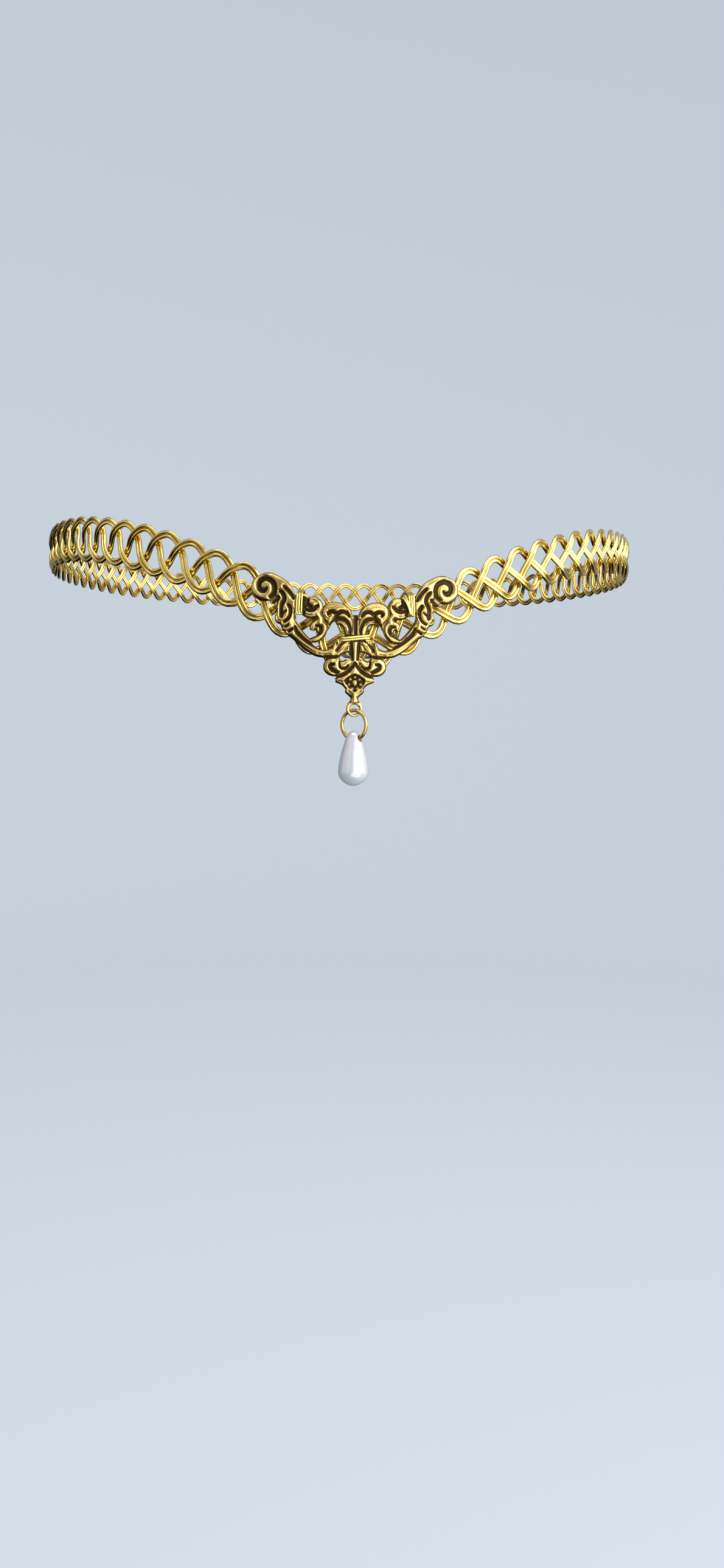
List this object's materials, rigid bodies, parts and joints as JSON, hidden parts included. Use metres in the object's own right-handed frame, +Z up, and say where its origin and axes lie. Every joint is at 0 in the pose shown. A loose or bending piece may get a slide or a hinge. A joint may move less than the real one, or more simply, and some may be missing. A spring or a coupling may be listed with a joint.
{
  "type": "circlet",
  "caption": "Open oval circlet braided from doubled wire, dipping at the front under a lashed pierced scroll ornament with a teardrop pearl hanging on a jump ring.",
  "frame": {"origin": "middle of the oval opening that sits on the head, at the mid-height of the band's level sides", "axes": "+Z up as worn, -Y towards the front where the ornament hangs, +X towards the viewer's right when the front is faced"},
  "size_m": [0.1602, 0.2033, 0.0595],
  "materials": {
    "gilt_wire": "bright gold-coloured wire",
    "aged_brass": "antiqued, dark in the recesses and polished on the crests",
    "pearl": "white imitation pearl"
  },
  "bodies": {
    "circlet": {"strand_a": "gilt_wire", "strand_b": "gilt_wire", "strand_c": "gilt_wire", "ornament": "aged_brass", "centre_binding": "gilt_wire", "left_binding": "gilt_wire", "right_binding": "gilt_wire"},
    "ring": {"jump_ring": "gilt_wire"},
    "drop": {"pearl_drop": "pearl"}
  },
  "joints": [
    {"name": "ring_swing", "type": "hinge", "parent": "circlet", "child": "ring", "pos_m": [-0.0006, -0.1006, -0.039], "axis": [0.788, -0.6157, 0], "range_deg": [-35, 35]},
    {"name": "drop_swing", "type": "hinge", "parent": "ring", "child": "drop", "pos_m": [-0.0006, -0.1006, -0.04463], "axis": [0.788, -0.6157, 0], "range_deg": [-75, 75]}
  ]
}
